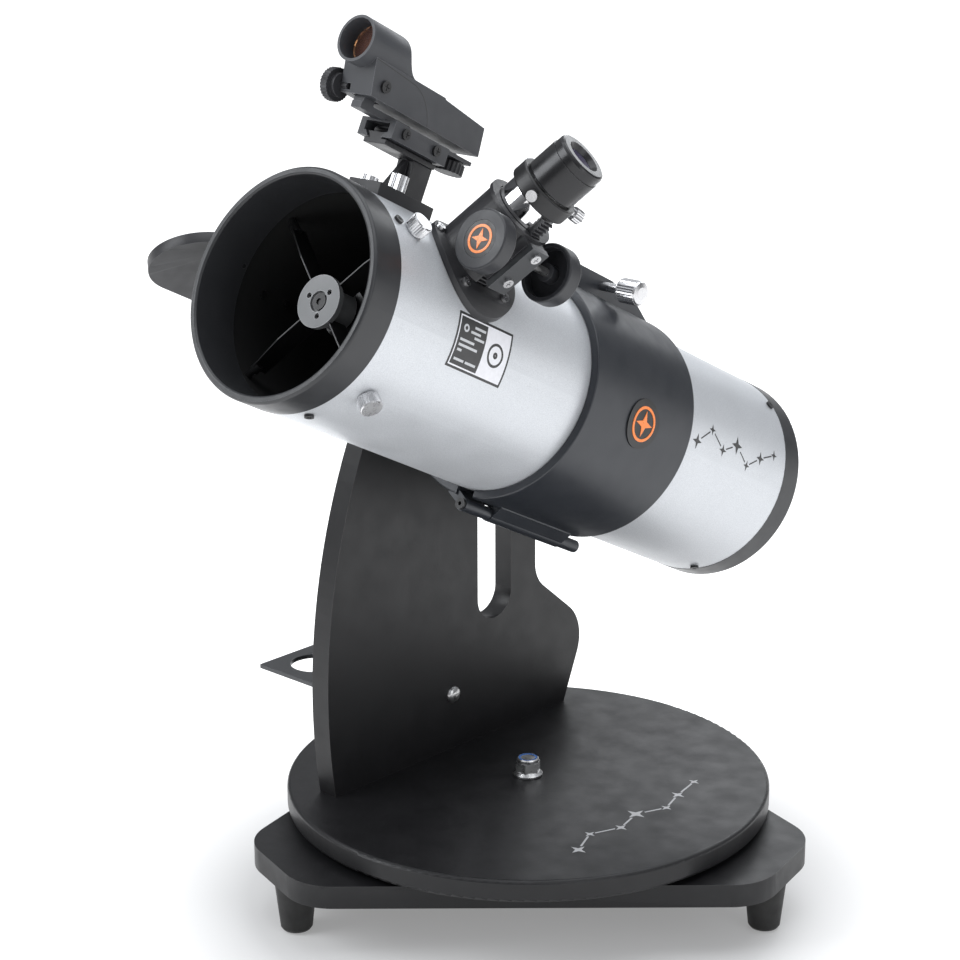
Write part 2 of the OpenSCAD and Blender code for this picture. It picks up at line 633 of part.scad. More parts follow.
module focus_knobs() color([0.13, 0.13, 0.14]) in_focuser() translate([pinion_w, 0, pinion_t])
  for (a = [0, 180]) rotate([0, 0, a]) translate([0, -37, 0]) rotate([-90, 0, 0]) knob_half();

module knob_badges() color([0.92, 0.45, 0.12]) in_focuser() translate([pinion_w, 0, pinion_t])
  for (a = [0, 180]) rotate([0, 0, a]) translate([0, -36.9, 0]) rotate([-90, 0, 0]) rod(11.4, 1.2);

module eyepiece_holder() color([0.09, 0.09, 0.1]) in_focuser() difference() {
  rotate_extrude($fn = 96) {
    translate([0, 126.5 + eps]) square([19.8, 10.5]);
    translate([0, 127.6]) square([20.6, 8.2]);
    translate([19.6, 127.6]) circle(1, $fn = 24);
    translate([19.6, 135.8]) circle(1, $fn = 24);
  }
  translate([0, 0, 120]) cylinder(r = barrel_r + fit, h = 30, $fn = 96);
  translate([0, 0, 120]) cylinder(r = barrel_r + 0.35, h = 8, $fn = 96);
  for (a = [-57, 75, 180]) translate([0, 0, 131.6]) rotate([0, 0, a]) rod_x(2 + fit, 30);
}

module holder_screws() color([0.82, 0.82, 0.82]) in_focuser() for (a = [-57, 180]) translate([0, 0, 131.6])
  rotate([0, 0, a]) translate([barrel_r + 0.4, 0, 0]) {
    rod_x(2, 6);
    translate([4.9, 0, 0]) rod_x(3.4, 3);
  }

module lock_screw() color([0.7, 0.7, 0.7]) in_focuser() translate([0, 0, 131.6]) rotate([0, 0, 75])
  translate([barrel_r + 0.4, 0, 0]) {
    rod_x(2, 9);
    translate([6.6, 0, 0]) rod_x(2.8, 3);
    translate([9, 0, 0]) rotate([0, 90, 0]) knurled(4.4, 6, 0.4, 18);
  }

module eyepiece_barrel() color([0.86, 0.86, 0.87]) in_focuser() difference() {
  translate([0, 0, 110]) cylinder(r = barrel_r, h = 27.4 - eps, $fn = 96);
  translate([0, 0, 109]) cylinder(r = barrel_r - 1.2, h = 30, $fn = 96);
}

module eyepiece_body() color([0.08, 0.08, 0.08]) in_focuser() difference() {
  union() {
    rotate_extrude($fn = 96) {
      translate([0, 137.4]) square([16.6, 6]);
      translate([0, 138.4]) square([17.5, 18]);
      translate([0, 155]) polygon([[0, 0], [17.5, 0], [16.9, 1], [16.9, 6.2], [16.2, 7.6], [15, 8.2], [0, 8.2]]);
    }
    translate([0, 0, 130]) cylinder(r = barrel_r - 1.25, h = 10, $fn = 96);
  }
  translate([0, 0, 120]) cylinder(r = 12, h = 36, $fn = 96);
  translate([0, 0, 150]) cylinder(r = 9, h = 30, $fn = 96);
  rotate_extrude($fn = 96) polygon([[0, 160], [9, 160], [11.5, 164], [0, 164]]);
}

module eyepiece_lenses() color([0.7, 0.8, 0.85, 0.4]) in_focuser() {
  translate([0, 0, 150]) cylinder(r = 8.95, h = 9.8, $fn = 64);
  translate([0, 0, 131]) cylinder(r = 11.95, h = 4, $fn = 64);
}

/* ---------- finder ---------- */

module finder_bracket() color([0.1, 0.1, 0.11]) in_tube() {
  difference() {
    union() {
      translate([-13, 39, 60]) cube([26, 49, 16.6]);
      translate([-6.5, 0, 0]) rotate([90, 0, 90]) linear_extrude(13) polygon([[67.5, 76], [66, 99], [83, 99], [83, 76]]);
      translate([-2, 0, 0]) rotate([90, 0, 90]) linear_extrude(4) polygon([[53, 76], [65, 98.4], [70, 98.4], [70, 76]]);
      translate([-9, 36, 98]) cube([18, 46, 3.2]);
      translate([0, 82, 101]) rotate([90, 0, 0]) linear_extrude(46) polygon([[-5, 0], [5, 0], [8, 4], [-8, 4]]);
    }
    tube_cyl(tube_r + eps, 20, 120);
    for (p = [stud_low, stud_tall]) translate([p[0], p[1], 60]) rod(2 + fit, 20);
  }
}

module bracket_stud(p, h) translate([p[0], p[1], 0]) {
  translate([0, 0, 65]) rod(2, 14);
  translate([0, 0, 65]) rod(3.6, 2);
  translate([0, 0, 76.6 + eps]) knurled(5.4, h, 0.35, 24);
}

module bracket_nuts() color([0.84, 0.84, 0.84]) in_tube() {
  bracket_stud(stud_low, 4.4);
  bracket_stud(stud_tall, 9.5);
}

module finder_clamp() color([0.11, 0.11, 0.12]) in_tube() difference() {
  union() {
    translate([-14, 34.5, 101.6]) cube([28, 49.5, 10.8]);
    translate([-9, 80, 110.6]) cube([18, 31, 2.4]);
    translate([-4, 13, 111.4]) cube([8, 44, 4]);
    translate([-4, pivot_fs - 4.6, 112]) cube([8, 9.2, pivot_fh - 112]);
    translate([-4, pivot_fs, pivot_fh]) rod_x(4.6, 8);
  }
  translate([-20, pivot_fs, pivot_fh]) rod_x(2 + eps, 40);
  translate([0, 90, 101]) rotate([90, 0, 0]) linear_extrude(60) polygon([[-5.1, -1], [5.1, -1], [5.1, 0], [8.1, 4.06], [-8.1, 4.06], [-5.1, 0]]);
  translate([-9.5, 30, 104.9]) cube([19, 14, 5.6]);
  for (s = [44.6, 73]) translate([-20, s, 107.6]) rod_x(1.8 + fit, 40);
  translate([0, adjust_s, 100]) rod(2 + fit, 20);
}

module finder_screws() color([0.12, 0.12, 0.12]) in_tube() {
  for (s = [44.6, 73]) translate([14 + eps, s, 107.6]) rotate([0, 90, 0]) pan_screw(1.8, 9, 3.2, 1.6);
  translate([12.5 + gap, pivot_fs, pivot_fh]) rotate([0, 90, 0]) pan_screw(2, 20, 3.6, 1.6);
}

module finder_adjuster() color([0.12, 0.12, 0.13]) in_tube() translate([0, adjust_s, 0]) {
  translate([0, 0, 102.6]) knurled(9, 6.6, 0.6, 20);
  translate([0, 0, 108]) rod(5, 2.3);
  translate([0, 0, 108]) rod(2, 7);
}

hood_r = 14;        // hood of the finder, its bore and its height above the tube axis
hood_bore = 12.4;
hood_h = 147;
hood_s0 = -3.4;
head_w = 25;

head_pts = [[10, 118.4], [111, 117], [108.6, 134.4], [70, 138], [68.5, 138.9], [5, 139.8]];

// Side view of the hood, falling to the body behind the window.
function hood_pts() = concat([[hood_s0, 128], [60, 128], [60, 138.9]],
  arc_pts(44, 153.5, 14.3, -92, -176, 12), [[28.8, 158], [27, 160.4], [24, 162], [hood_s0, 162]]);

module finder_housing() color([0.12, 0.12, 0.13]) in_tube() difference() {
  union() {
    translate([-head_w / 2, 0, 0]) rotate([90, 0, 90]) linear_extrude(head_w) polygon(head_pts);
    intersection() {
      translate([0, 0, hood_h]) tube_cyl(hood_r, hood_s0, 60);
      translate([-hood_r - 2, 0, 0]) rotate([90, 0, 90]) linear_extrude(2 * hood_r + 4) polygon(hood_pts());
    }
  }
  translate([0, 0, hood_h]) tube_cyl(hood_bore, -20, 30);
  translate([0, 0, hood_h]) rotate([-2, 0, 0]) tube_cyl(10.4, -20, 130);
  translate([-20, 10, 122]) rod_x(2 + fit, 15);
  translate([-4.6, 11.4, 110]) cube([9.2, 15.2, 22.4]);
  translate([-13, pivot_fs, pivot_fh]) rod_x(2 + fit, 26);
}

module finder_lens() color([0.7, 0.5, 0.2, 0.5]) in_tube() translate([0, 0, hood_h]) tube_cyl(hood_bore - eps, 9, 11);

module finder_dial() color([0.12, 0.12, 0.12]) in_tube() translate([0, 10, 122]) {
  translate([-19.4, 0, 0]) rod_x(2, 12);
  translate([-21, 0, 0]) rotate([0, 90, 0]) knurled(10, 5, 0.5, 30);
  translate([-16.2, 0, 0]) rod_x(7, 3.2);
}

/* ---------- phone dock ---------- */

module at_dock_screws() for (s = [dock_s - 10.5, dock_s + 10.5]) round_tube(180, s) children();

// Frame of the tray inside the tube frame.
module tray_frame() translate([tray_x, tray_s0, tray_h]) rotate([0, -dock_tilt, 0]) children();

module dock_tray() color([0.1, 0.1, 0.11]) in_tube() tray_frame() difference() {
  union() {
    cylinder(r = tray_r, h = 7, $fn = 128);
    translate([-tray_r, 0, 0]) cube([2 * tray_r, 88, 7]);
  }
  translate([0, 0, 3]) cylinder(r = tray_r - 2.5, h = 6, $fn = 128);
  translate([-tray_r + 2.5, 0, 3]) cube([2 * tray_r - 5, 85.5, 6]);
}

module dock_bracket() color([0.12, 0.12, 0.13]) in_tube() difference() {
  union() {
    intersection() {
      round_tube(180, dock_s) translate([0, 0, 55]) cylinder(r = 16, h = 30, $fn = 64);
      difference() {
        tube_cyl(76, 30, 110);
        tube_cyl(tube_r + eps, 30, 110);
      }
    }
    translate([tray_x + 5, 60, 2]) cube([-74 - tray_x - 5, 12, 8]);
  }
  tray_frame() translate([-60, -60, -eps]) cube([120, 200, 60]);
  at_dock_screws() translate([0, 0, 60]) rod(2.5 + fit, 20);
}

module dock_screws() color([0.12, 0.12, 0.12]) in_tube() at_dock_screws()
  translate([0, 0, 76 + eps]) pan_screw(2.5, 9, 4.2, 2.2);

ground_board();
feet();
foot_screws();
azimuth_bolt();
azimuth_nut();
nut_insert();
glide_pads();
turntable();
side_arm();
arm_screws();
rack_bolt();
eyepiece_rack();
bearing_plate();
optical_tube();
front_ring();
rear_ring();
end_screws();
spider_vanes();
spider_hub();
vane_nuts();
hub_screws();
secondary_holder();
secondary_mirror();
primary_mirror();
mirror_clips();
mirror_cell();
collimation_screws();
cell_springs();
ring_fixed();
hinge_pin();
altitude_bolt();
focuser_body();
focuser_screws();
pinion_cover();
finder_bracket();
bracket_nuts();
finder_clamp();
dock_tray();
dock_bracket();
dock_screws();
altitude_knob();
ring_opening();
ring_badge();
clamp_screw();
draw_tube();
focus_rack();
eyepiece_holder();
holder_screws();
lock_screw();
pinion_shaft();
focus_knobs();
knob_badges();
eyepiece_barrel();
eyepiece_body();
eyepiece_lenses();
finder_housing();
finder_lens();
finder_screws();
finder_dial();
finder_adjuster();
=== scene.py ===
"""Looks, lights and camera for a tabletop reflector telescope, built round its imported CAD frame.

Everything is in metres, in the CAD model's own frame: the tube points to -Y, the arm stands on the -X side.
"""
import json
import math

import bmesh
import bpy
from mathutils import Matrix, Vector


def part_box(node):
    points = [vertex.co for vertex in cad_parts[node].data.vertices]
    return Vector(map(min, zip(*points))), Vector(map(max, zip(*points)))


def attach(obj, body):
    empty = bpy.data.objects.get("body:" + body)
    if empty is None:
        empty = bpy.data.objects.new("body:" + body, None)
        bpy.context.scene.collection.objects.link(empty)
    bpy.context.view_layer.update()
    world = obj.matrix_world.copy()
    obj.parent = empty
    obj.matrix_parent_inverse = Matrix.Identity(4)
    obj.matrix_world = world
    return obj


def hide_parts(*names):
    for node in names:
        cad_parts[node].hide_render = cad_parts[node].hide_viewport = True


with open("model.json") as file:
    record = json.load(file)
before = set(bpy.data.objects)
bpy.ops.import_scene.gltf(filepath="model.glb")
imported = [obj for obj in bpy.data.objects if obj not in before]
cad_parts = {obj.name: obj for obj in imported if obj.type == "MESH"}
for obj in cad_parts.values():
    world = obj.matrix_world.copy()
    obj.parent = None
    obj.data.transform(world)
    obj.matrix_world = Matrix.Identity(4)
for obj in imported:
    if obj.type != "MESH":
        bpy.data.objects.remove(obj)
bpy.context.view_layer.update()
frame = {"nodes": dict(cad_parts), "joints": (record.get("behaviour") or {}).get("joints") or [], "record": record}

NODES = frame["nodes"]
JOINTS = {j["name"]: j for j in frame["joints"]}
MM = 0.001

# ---------------------------------------------------------------- the tube's own frame

PIVOT = Vector(JOINTS["altitude"]["pos_m"])
REAR = Vector(JOINTS["ring_half_open"]["axis"]).normalized()
ACROSS = Vector((1, 0, 0))
UP = ACROSS.cross(REAR)
FRONT = min((v.co - PIVOT).dot(REAR) for v in NODES["front_ring"].data.vertices)
AZIMUTH = Vector(JOINTS["azimuth"]["pos_m"])
TURNTABLE_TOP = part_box("turntable")[1][2]


def in_tube(across, s, up):
    """Point at a distance s behind the front face, across and up from the tube's axis."""
    return PIVOT + REAR * (FRONT + s) + ACROSS * across + UP * up


def radius_of(node):
    """Largest distance of a node's points from the tube's axis."""
    far = 0
    for v in NODES[node].data.vertices:
        d = v.co - PIVOT
        far = max(far, (d - REAR * d.dot(REAR)).length)
    return far


TUBE_R = radius_of("optical_tube")
RING_R = radius_of("ring_badge")


# ---------------------------------------------------------------- materials


class Shader:
    """A material with one Principled shader and short calls for the nodes that feed it."""

    def __init__(self, name, color, rough, metal=0.0, **sockets):
        self.mat = bpy.data.materials.new(name)
        self.mat.use_nodes = True
        self.nodes = self.mat.node_tree.nodes
        self.links = self.mat.node_tree.links
        self.bsdf = self.nodes["Principled BSDF"]
        self.bsdf.inputs["Base Color"].default_value = (*color, 1)
        self.bsdf.inputs["Roughness"].default_value = rough
        self.bsdf.inputs["Metallic"].default_value = metal
        for socket, value in sockets.items():
            self.bsdf.inputs[socket.replace("_", " ")].default_value = value
        self.mat.diffuse_color = (*color, 1)
        self.place = self.add("ShaderNodeTexCoord").outputs["Object"]
        self.normal = None

    def add(self, kind, **settings):
        node = self.nodes.new(kind)
        for key, value in settings.items():
            setattr(node, key, value)
        return node

    def put(self, value, socket):
        """Links a socket, or sets a plain value."""
        if isinstance(value, bpy.types.NodeSocket):
            self.links.new(value, socket)
        else:
            socket.default_value = value

    def math(self, operation, a, b=0.0, clamp=False):
        node = self.add("ShaderNodeMath", operation=operation, use_clamp=clamp)
        self.put(a, node.inputs[0])
        self.put(b, node.inputs[1])
        return node.outputs[0]

    def noise(self, scale, detail=2.0, stretch=None):
        """Noise with about scale features to the metre; stretch is a scale for each axis."""
        node = self.add("ShaderNodeTexNoise")
        node.inputs["Scale"].default_value = scale
        node.inputs["Detail"].default_value = detail
        place = self.place
        if stretch:
            mapping = self.add("ShaderNodeMapping")
            mapping.inputs["Scale"].default_value = stretch
            self.links.new(place, mapping.inputs["Vector"])
            place = mapping.outputs[0]
        self.links.new(place, node.inputs["Vector"])
        return node.outputs["Fac"]

    def blend(self, share, low, high):
        """Mix of two colours by a share from 0 to 1."""
        node = self.add("ShaderNodeMix", data_type="RGBA")
        self.put(share, node.inputs["Factor"])
        for value, socket in ((low, node.inputs[6]), (high, node.inputs[7])):
            self.put((*value, 1) if isinstance(value, tuple) else value, socket)
        return node.outputs[2]

    def span(self, value, low, high, to_low, to_high):
        node = self.add("ShaderNodeMapRange")
        self.put(value, node.inputs["Value"])
        for key, number in zip(("From Min", "From Max", "To Min", "To Max"), (low, high, to_low, to_high)):
            node.inputs[key].default_value = number
        return node.outputs[0]

    def tint(self, share, low, high):
        self.links.new(self.blend(share, low, high), self.bsdf.inputs["Base Color"])

    def gloss(self, share, low, high):
        self.links.new(self.span(share, 0.3, 0.7, low, high), self.bsdf.inputs["Roughness"])

    def bump(self, height, strength, depth):
        node = self.add("ShaderNodeBump")
        node.inputs["Strength"].default_value = strength
        node.inputs["Distance"].default_value = depth
        self.links.new(height, node.inputs["Height"])
        if self.normal:
            self.links.new(self.normal, node.inputs["Normal"])
        self.normal = node.outputs[0]
        self.links.new(self.normal, self.bsdf.inputs["Normal"])

    def edges(self, radius):
        """Share that is 1 on sharp edges and 0 on open faces."""
        bevel = self.add("ShaderNodeBevel", samples=4)
        bevel.inputs["Radius"].default_value = radius
        flat = self.add("ShaderNodeNewGeometry").outputs["Normal"]
        dot = self.add("ShaderNodeVectorMath", operation="DOT_PRODUCT")
        self.links.new(bevel.outputs[0], dot.inputs[0])
        self.links.new(flat, dot.inputs[1])
        return self.span(dot.outputs["Value"], 0.99, 0.75, 0.0, 1.0)


def laminate():
    """Black melamine board: pearl-grained, faintly cloudy, lighter in patches along its edges, partly rubbed wear
    and partly a painted edge highlight.
    """
    m = Shader("laminate_black", (0.009, 0.009, 0.010), 0.42, Specular_IOR_Level=0.38)
    cloud = m.noise(14, 3)
    # Patchy edge mask: lightens the colour on the edges, partly wear and partly a painted edge highlight.
    wear_and_edge_highlight = m.math("MULTIPLY", m.edges(0.0012), m.noise(220, 3))
    base = m.blend(cloud, (0.0075, 0.0075, 0.0083), (0.0125, 0.0122, 0.0135))
    m.tint(wear_and_edge_highlight, base, (0.055, 0.054, 0.054))
    m.gloss(m.noise(60, 4), 0.36, 0.47)
    m.bump(m.noise(1500, 2), 0.28, 0.00012)
    m.bump(m.noise(320, 1), 0.10, 0.0002)
    return m.mat


def tube_paint():
    """Silver metallic paint outside, matt black with fine flock inside, split by the distance from the axis."""
    m = Shader("tube_paint", (0.6, 0.61, 0.63), 0.42, 0.45, Coat_Weight=0.25, Coat_Roughness=0.2)
    away = m.add("ShaderNodeVectorMath", operation="SUBTRACT")
    m.links.new(m.place, away.inputs[0])
    away.inputs[1].default_value = PIVOT
    cross = m.add("ShaderNodeVectorMath", operation="CROSS_PRODUCT")
    m.links.new(away.outputs[0], cross.inputs[0])
    cross.inputs[1].default_value = REAR
    length = m.add("ShaderNodeVectorMath", operation="LENGTH")
    m.links.new(cross.outputs[0], length.inputs[0])
    outside = m.span(length.outputs["Value"], TUBE_R - 1.0 * MM, TUBE_R - 0.6 * MM, 0.0, 1.0)
    flake = m.noise(2600, 1)
    cloud = m.noise(9, 2)
    silver = m.blend(m.span(flake, 0.35, 0.65, 0, 1), (0.52, 0.535, 0.56), (0.68, 0.70, 0.725))
    silver = m.blend(m.math("MULTIPLY", cloud, 0.25), silver, (0.50, 0.52, 0.55))
    flock = m.blend(m.noise(900, 3), (0.004, 0.004, 0.004), (0.011, 0.011, 0.0115))
    m.links.new(m.blend(outside, flock, silver), m.bsdf.inputs["Base Color"])
    m.links.new(m.math("MULTIPLY", outside, 0.45), m.bsdf.inputs["Metallic"])
    rough = m.span(m.noise(45, 3), 0.3, 0.7, 0.38, 0.46)
    dull = m.math("SUBTRACT", 1.0, outside)
    m.links.new(m.math("ADD", rough, m.math("MULTIPLY", dull, 0.4), clamp=True), m.bsdf.inputs["Roughness"])
    m.bump(m.noise(700, 1), 0.06, 0.00008)
    return m.mat


def satin_paint(name, dark, light, rough, metal=0.0):
    """Satin paint with a fine orange peel, and edges lightened in patches: partly rubbed wear, partly a painted
    edge highlight.
    """
    m = Shader(name, dark, rough, metal, Coat_Weight=0.12, Coat_Roughness=0.25)
    base = m.blend(m.noise(18, 3), dark, light)
    # Patchy edge mask: lightens the colour on the edges, partly wear and partly a painted edge highlight.
    wear_and_edge_highlight = m.math("MULTIPLY", m.edges(0.0006), m.noise(400, 3))
    m.tint(wear_and_edge_highlight, base, tuple(min(1.0, c * 3 + 0.04) for c in light))
    m.gloss(m.noise(80, 3), rough - 0.05, rough + 0.06)
    m.bump(m.noise(900, 2), 0.10, 0.0001)
    return m.mat


def moulded(name, dark, light, rough, grain=1300, depth=0.00012, strength=0.32):
    """Moulded plastic with a spark-eroded grain, its colour lighter along its edges as a painted highlight."""
    m = Shader(name, dark, rough, Specular_IOR_Level=0.45)
    base = m.blend(m.noise(30, 3), dark, light)
    # Painted highlight: the colour is lighter on sharp edges.
    edge = m.edges(0.0007)
    m.tint(m.math("MULTIPLY", edge, 0.75), base, tuple(c * 2.6 + 0.02 for c in light))
    m.gloss(m.noise(90, 3), rough - 0.06, rough + 0.07)
    m.bump(m.noise(grain, 2), strength, depth)
    return m.mat


def plated(name, dark, light, rough, streaks=None):
    """Bare or plated metal with fine machining streaks and fingerprints in its gloss."""
    m = Shader(name, light, rough, 1.0)
    m.tint(m.noise(160, 4), dark, light)
    m.gloss(m.noise(240, 4, streaks), rough * 0.7, rough * 1.4)
    m.bump(m.noise(1200, 2, streaks), 0.05, 0.00004)
    return m.mat


def rubber():
    m = Shader("foot_rubber", (0.012, 0.012, 0.012), 0.72, Sheen_Weight=0.08)
    m.tint(m.noise(70, 4), (0.008, 0.008, 0.008), (0.022, 0.021, 0.020))
    m.gloss(m.noise(120, 3), 0.6, 0.8)
    m.bump(m.noise(1500, 3), 0.35, 0.00015)
    return m.mat


def printed(name, color, rough=0.35, coat=0.3):
    """Printing ink or a moulded inlay: a flat colour with a faint mottle and grain."""
    m = Shader(name, color, rough, Coat_Weight=coat, Coat_Roughness=0.2)
    m.tint(m.noise(300, 3), tuple(c * 0.86 for c in color), tuple(min(1.0, c * 1.08) for c in color))
    m.gloss(m.noise(200, 2), rough - 0.05, rough + 0.08)
    m.bump(m.noise(1600, 2), 0.08, 0.00005)
    return m.mat


def mirror():
    m = Shader("mirror_coating", (0.93, 0.94, 0.95), 0.02, 1.0)
    m.tint(m.noise(20, 2), (0.90, 0.915, 0.93), (0.95, 0.955, 0.96))
    m.gloss(m.noise(60, 4), 0.008, 0.03)
    return m.mat


def coated_lens(name, middle, rim):
    """Coated glass: one tint face on and another at a slant."""
    m = Shader(name, middle, 0.03, Transmission_Weight=0.85, IOR=1.52, Coat_Weight=0.5, Coat_Roughness=0.02)
    facing = m.add("ShaderNodeLayerWeight")
    facing.inputs["Blend"].default_value = 0.45
    m.tint(m.span(facing.outputs["Facing"], 0.1, 0.75, 0.0, 1.0), middle, rim)
    m.gloss(m.noise(90, 3), 0.01, 0.05)
    return m.mat


def make_materials():
    """One finish for each material slot of the record, and the extra ones that pieces take."""
    return {
        "board_black": laminate(),
        "foot_rubber": rubber(),
        "zinc_steel": plated("zinc_plate", (0.46, 0.46, 0.45), (0.66, 0.66, 0.67), 0.30),
        "nylon_blue": moulded("nylon_blue", (0.03, 0.11, 0.36), (0.05, 0.16, 0.46), 0.4, depth=0.00005),
        "ptfe_white": moulded("slide_plastic", (0.72, 0.72, 0.70), (0.82, 0.82, 0.80), 0.45, depth=0.00004),
        "tube_silver": tube_paint(),
        "ring_gloss": moulded(
            "ring_plastic", (0.020, 0.021, 0.023), (0.031, 0.032, 0.035), 0.34, 1500, 0.00006, 0.2
        ),
        "black_metal": satin_paint("black_metal", (0.010, 0.010, 0.011), (0.019, 0.019, 0.020), 0.40, 0.3),
        "hub_grey": moulded("hub_grey", (0.17, 0.175, 0.18), (0.25, 0.255, 0.26), 0.5),
        "chrome": plated("chrome_plate", (0.80, 0.80, 0.81), (0.90, 0.90, 0.91), 0.07, (1, 1, 0.15)),
        "knurled_steel": plated("turned_steel", (0.52, 0.52, 0.53), (0.74, 0.74, 0.75), 0.26, (1, 1, 0.2)),
        "black_plastic": moulded("black_plastic", (0.016, 0.016, 0.018), (0.027, 0.027, 0.030), 0.44),
        "mirror_glass": mirror(),
        "cradle_paint": satin_paint("cradle_paint", (0.018, 0.0205, 0.026), (0.024, 0.027, 0.033), 0.38, 0.2),
        "badge_orange": printed("badge_orange", (0.92, 0.22, 0.02), 0.3),
        "grey_plate": satin_paint("grey_plate", (0.040, 0.042, 0.045), (0.056, 0.058, 0.062), 0.40, 0.3),
        "optic_glass": coated_lens("eyepiece_glass", (0.55, 0.75, 0.62), (0.40, 0.30, 0.62)),
        "amber_glass": coated_lens("finder_glass", (0.80, 0.36, 0.06), (0.05, 0.22, 0.85)),
    }


MATERIALS = make_materials()
GREY_FINDER = moulded("finder_plastic", (0.040, 0.042, 0.047), (0.056, 0.058, 0.064), 0.46)
GLOSS_BLACK = printed("badge_black", (0.006, 0.006, 0.0065), 0.34, 0.03)
EYEPIECE_BLACK = satin_paint("eyepiece_black", (0.016, 0.016, 0.017), (0.026, 0.026, 0.028), 0.25, 0.5)
KNOB_GREY = moulded("knob_rubber", (0.020, 0.021, 0.024), (0.032, 0.033, 0.037), 0.4)
INK_BLACK = printed("ink_black", (0.010, 0.010, 0.011), 0.4)
INK_SILVER = printed("ink_silver", (0.55, 0.56, 0.58), 0.38)
INK_PALE = printed("ink_pale", (0.80, 0.80, 0.84), 0.4)
INK_GREY = printed("ink_grey", (0.36, 0.36, 0.37), 0.45)

# Nodes whose finish differs from the rest of their slot.
OWN_FINISH = {
    "finder_housing": GREY_FINDER,
    "finder_clamp": GREY_FINDER,
    "ring_badge": GLOSS_BLACK,
    "knob_badges": GLOSS_BLACK,
    "hinge_pin": MATERIALS["black_metal"],
    "focuser_screws": MATERIALS["knurled_steel"],
    "holder_screws": MATERIALS["knurled_steel"],
    "eyepiece_body": EYEPIECE_BLACK,
    "focus_knobs": KNOB_GREY,
}


def finish_node(node, slot):
    mesh_object = NODES[node]
    mesh_object.data.materials.clear()
    mesh_object.data.materials.append(OWN_FINISH.get(node, MATERIALS[slot]))


for subpart in frame["record"]["subparts"]:
    finish_node(subpart["node"], subpart["material_slot"])

# ---------------------------------------------------------------- softened edges on the CAD pieces

# Node and width of its edge rounding.
EDGE_ROUNDING = {
    "ground_board": 1.6,
    "side_arm": 1.0,
    "eyepiece_rack": 0.4,
    "dock_tray": 0.8,
    "dock_bracket": 0.6,
    "finder_housing": 0.7,
    "finder_clamp": 0.5,
    "finder_bracket": 0.6,
    "pinion_cover": 0.6,
    "focuser_body": 0.5,
    "rack_bolt": 0.3,
    "altitude_knob": 0.4,
}
SHARP = math.radians(32)


def soften(node, width):
    """Welds the tessellated faces and rounds the sharp edges between them."""
    piece = NODES[node]
    weld = piece.modifiers.new("weld", "WELD")
    weld.merge_threshold = 0.01 * MM
    bevel = piece.modifiers.new("edge", "BEVEL")
    bevel.width = width * MM
    bevel.segments = 3
    bevel.limit_method = "ANGLE"
    bevel.angle_limit = SHARP
    bevel.harden_normals = True
    bevel.use_clamp_overlap = True


for rounded, width in EDGE_ROUNDING.items():
    soften(rounded, width)

# ---------------------------------------------------------------- thin printed and inlaid marks

# A patch is (function from a, b in 0..1 to u, v; steps in a; steps in b). Lengths are metres.
SUNK = 0.05 * MM  # how far a mark's underside lies below the surface


def bar(u0, v0, u1, v1, along=14, across=2):
    return (lambda a, b: (u0 + (u1 - u0) * a, v0 + (v1 - v0) * b), along, across)


def hoop(u, v, inner, outer, steps=48):
    def spot(a, b):
        r = inner + (outer - inner) * b
        return u + r * math.cos(2 * math.pi * a), v + r * math.sin(2 * math.pi * a)

    return spot, steps, 2


def star(u, v, tip, valley, points=4):
    """Star with straight sides: the radius along each side follows from its two ends."""
    half = math.pi / points

    def edge(angle):
        k = angle % (2 * half)
        k = min(k, 2 * half - k)
        return tip * valley * math.sin(half) / (tip * math.sin(k) + valley * math.sin(half - k))

    def spot(a, b):
        angle = 2 * math.pi * a
        r = edge(angle) * b
        return u + r * math.sin(angle), v + r * math.cos(angle)

    return spot, 16 * points, 5


def stroke(p, q, width):
    """Straight line from p to q."""
    across = Vector((p[1] - q[1], q[0] - p[0])).normalized() * width / 2

    def spot(a, b):
        side = across * (2 * b - 1)
        return p[0] + (q[0] - p[0]) * a + side.x, p[1] + (q[1] - p[1]) * a + side.y

    return spot, 10, 1


def inlay(name, patches, place, thick, material, body):
    """Thin closed mesh of patches. place(u, v, lift) gives the point that far above the surface."""
    bm = bmesh.new()
    for spot, na, nb in patches:
        layers = []
        for lift in (-SUNK, thick):
            layers.append([
                [bm.verts.new(place(*spot(i / na, j / nb), lift)) for j in range(nb + 1)]
                for i in range(na + 1)
            ])
        low, high = layers
        for i in range(na):
            for j in range(nb):
                bm.faces.new((high[i][j], high[i + 1][j], high[i + 1][j + 1], high[i][j + 1]))
                bm.faces.new((low[i][j], low[i][j + 1], low[i + 1][j + 1], low[i + 1][j]))
            for j in (0, nb):
                bm.faces.new((low[i][j], low[i + 1][j], high[i + 1][j], high[i][j]))
        for i in (0, na):
            for j in range(nb):
                bm.faces.new((low[i][j], low[i][j + 1], high[i][j + 1], high[i][j]))
    bmesh.ops.remove_doubles(bm, verts=bm.verts, dist=0.002 * MM)
    inner = [f for f in bm.faces if any(len(e.link_faces) > 2 for e in f.edges) and f.calc_area() < 1e-12]
    bmesh.ops.delete(bm, geom=inner, context="FACES")
    bmesh.ops.dissolve_degenerate(bm, dist=0.001 * MM, edges=bm.edges)
    bmesh.ops.recalc_face_normals(bm, faces=bm.faces)
    mesh = bpy.data.meshes.new(name)
    bm.to_mesh(mesh)
    bm.free()
    mesh.materials.append(material)
    piece = bpy.data.objects.new(name, mesh)
    bpy.context.scene.collection.objects.link(piece)
    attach(piece, body)
    return piece


def on_tube(radius, phi, s):
    """Surface round the tube's axis: u runs to the rear and v upwards round the tube, from (phi, s)."""

    def place(u, v, lift):
        angle = math.radians(phi) + v / radius
        r = radius + lift
        return in_tube(r * math.cos(angle), s + u, r * math.sin(angle))

    return place


